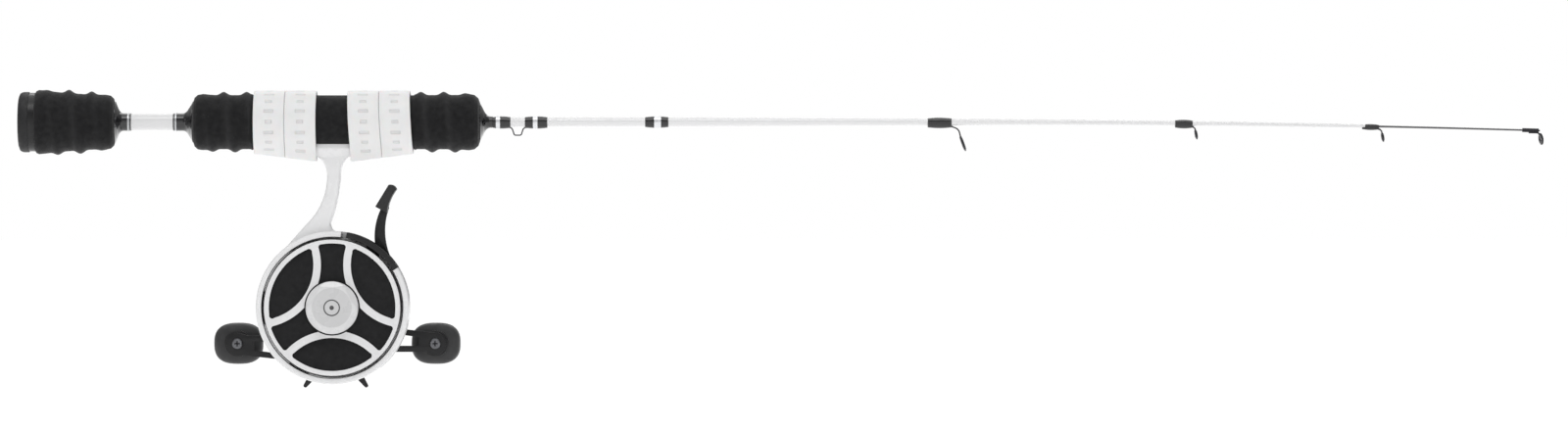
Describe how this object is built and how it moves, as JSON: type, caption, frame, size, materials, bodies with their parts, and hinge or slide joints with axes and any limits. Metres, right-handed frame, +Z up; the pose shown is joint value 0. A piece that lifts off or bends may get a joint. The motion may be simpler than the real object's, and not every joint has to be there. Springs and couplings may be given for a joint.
{
  "type": "ice fishing rod with inline reel",
  "caption": "Short ice fishing rod with split foam grip and an inline free-fall reel with trigger, double crank and star drag.",
  "frame": {"origin": "on the rod's axis over the middle of the reel foot, where the hand closes round grip and foot", "axes": "+X along the rod from butt to tip, +Z up with the reel hanging below, the reel's face looks along -Y"},
  "size_m": [0.7116, 0.0636, 0.1395],
  "materials": {
    "foam": "matt closed-cell EVA foam",
    "white_gloss": "gloss moulded plastic",
    "white_satin": "satin moulded plastic",
    "white_lacquer": "gloss lacquer over fibreglass",
    "black_gloss": "polished anodised trim look",
    "black_satin": "satin moulded plastic",
    "silicone": "satin silicone",
    "thread": "thread under clear epoxy",
    "silver_thread": "metallic thread under epoxy",
    "guide_wire": "blackened stainless wire",
    "ceramic": "polished ceramic",
    "glass_tip": "dark solid glass tip",
    "steel": "machined steel",
    "brass": "machined brass",
    "arm_metal": "black anodised aluminium",
    "drag_fibre": "pressed fibre",
    "soft_touch": "soft-touch grip",
    "spool_metal": "black anodised"
  },
  "bodies": {
    "rod": {"butt_cap": "foam", "butt_trim_ring": "black_satin", "rear_grip": "foam", "handle_tube": "white_satin", "front_grip": "foam", "rear_winding_check": "black_gloss", "middle_winding_check": "black_gloss", "front_winding_check": "black_gloss", "rod_blank": "white_lacquer", "tip_section": "glass_tip", "keeper_wraps": "thread", "hosel_wrap": "thread", "stripper_guide": "guide_wire", "second_guide": "guide_wire", "third_guide": "guide_wire", "guide_rings": "ceramic", "guide_wraps": "thread", "tip_top_frame": "guide_wire", "tip_top_ring": "ceramic", "silver_trim_threads": "silver_thread", "rear_outer_band": "silicone", "rear_inner_band": "silicone", "front_inner_band": "silicone", "front_outer_band": "silicone", "reel_frame": "white_gloss", "gear_cover": "white_gloss", "cover_screws": "steel", "spool_spindle": "steel", "one_way_bearing": "steel", "hook_keeper": "guide_wire"},
    "spool": {"spool": "spool_metal", "spool_face": "white_gloss", "face_pads": "black_satin", "spool_cap": "white_gloss", "spool_bearing_front": "steel", "spool_bearing_rear": "steel"},
    "pinion": {"pinion_gear": "brass"},
    "yoke": {"clutch_yoke": "steel", "clutch_spring": "steel"},
    "trigger": {"trigger_slide": "black_satin", "trigger_cam": "black_satin", "trigger_lever": "black_satin", "trigger_pad": "soft_touch"},
    "crank": {"drive_shaft": "steel", "drive_gear": "brass", "drag_washers": "drag_fibre", "drag_pressure_plate": "steel", "bearing_sleeve": "steel", "drag_spring_washer": "steel", "handle_arm": "arm_metal", "handle_nut": "steel", "handle_spacer": "steel", "knob_bush_rear": "black_satin", "knob_bush_front": "black_satin", "knob_screw_rear": "steel", "knob_screw_front": "steel"},
    "star": {"star_drag": "black_satin"},
    "rear_knob": {"knob_rear": "soft_touch"},
    "front_knob": {"knob_front": "soft_touch"}
  },
  "joints": [
    {"name": "crank_turn", "type": "hinge", "parent": "rod", "child": "crank", "pos_m": [0, 0, -0.10388], "axis": [0, 1, 0], "continuous": true},
    {"name": "spool_spin", "type": "hinge", "parent": "rod", "child": "spool", "pos_m": [0, 0, -0.0866], "axis": [0, 1, 0], "continuous": true},
    {"name": "pinion_spin", "type": "hinge", "parent": "yoke", "child": "pinion", "pos_m": [0, 0, -0.0866], "axis": [0, 1, 0], "continuous": true},
    {"name": "yoke_slide", "type": "slide", "parent": "rod", "child": "yoke", "axis": [0, 1, 0], "range_m": [0, 0.0008], "deforming": ["clutch_spring"]},
    {"name": "trigger_pull", "type": "hinge", "parent": "rod", "child": "trigger", "pos_m": [0, 0, -0.0866], "axis": [0, -1, 0], "range_deg": [0, 4], "stiffness_Nm_per_rad": 1.2, "springref_deg": -2.86},
    {"name": "star_turn", "type": "hinge", "parent": "crank", "child": "star", "pos_m": [0, 0, -0.10388], "axis": [0, 1, 0], "range_deg": [-180, 180]},
    {"name": "rear_knob_spin", "type": "hinge", "parent": "crank", "child": "rear_knob", "pos_m": [-0.0465, 0, -0.10388], "axis": [0, 1, 0], "continuous": true},
    {"name": "front_knob_spin", "type": "hinge", "parent": "crank", "child": "front_knob", "pos_m": [0.0465, 0, -0.10388], "axis": [0, 1, 0], "continuous": true}
  ],
  "couplings": [
    {"joint": "spool_spin", "follows": "crank_turn", "ratio": -2.6923},
    {"joint": "pinion_spin", "follows": "crank_turn", "ratio": -2.6923},
    {"joint": "yoke_slide", "follows": "trigger_pull", "m_per_rad": 0.011459}
  ]
}
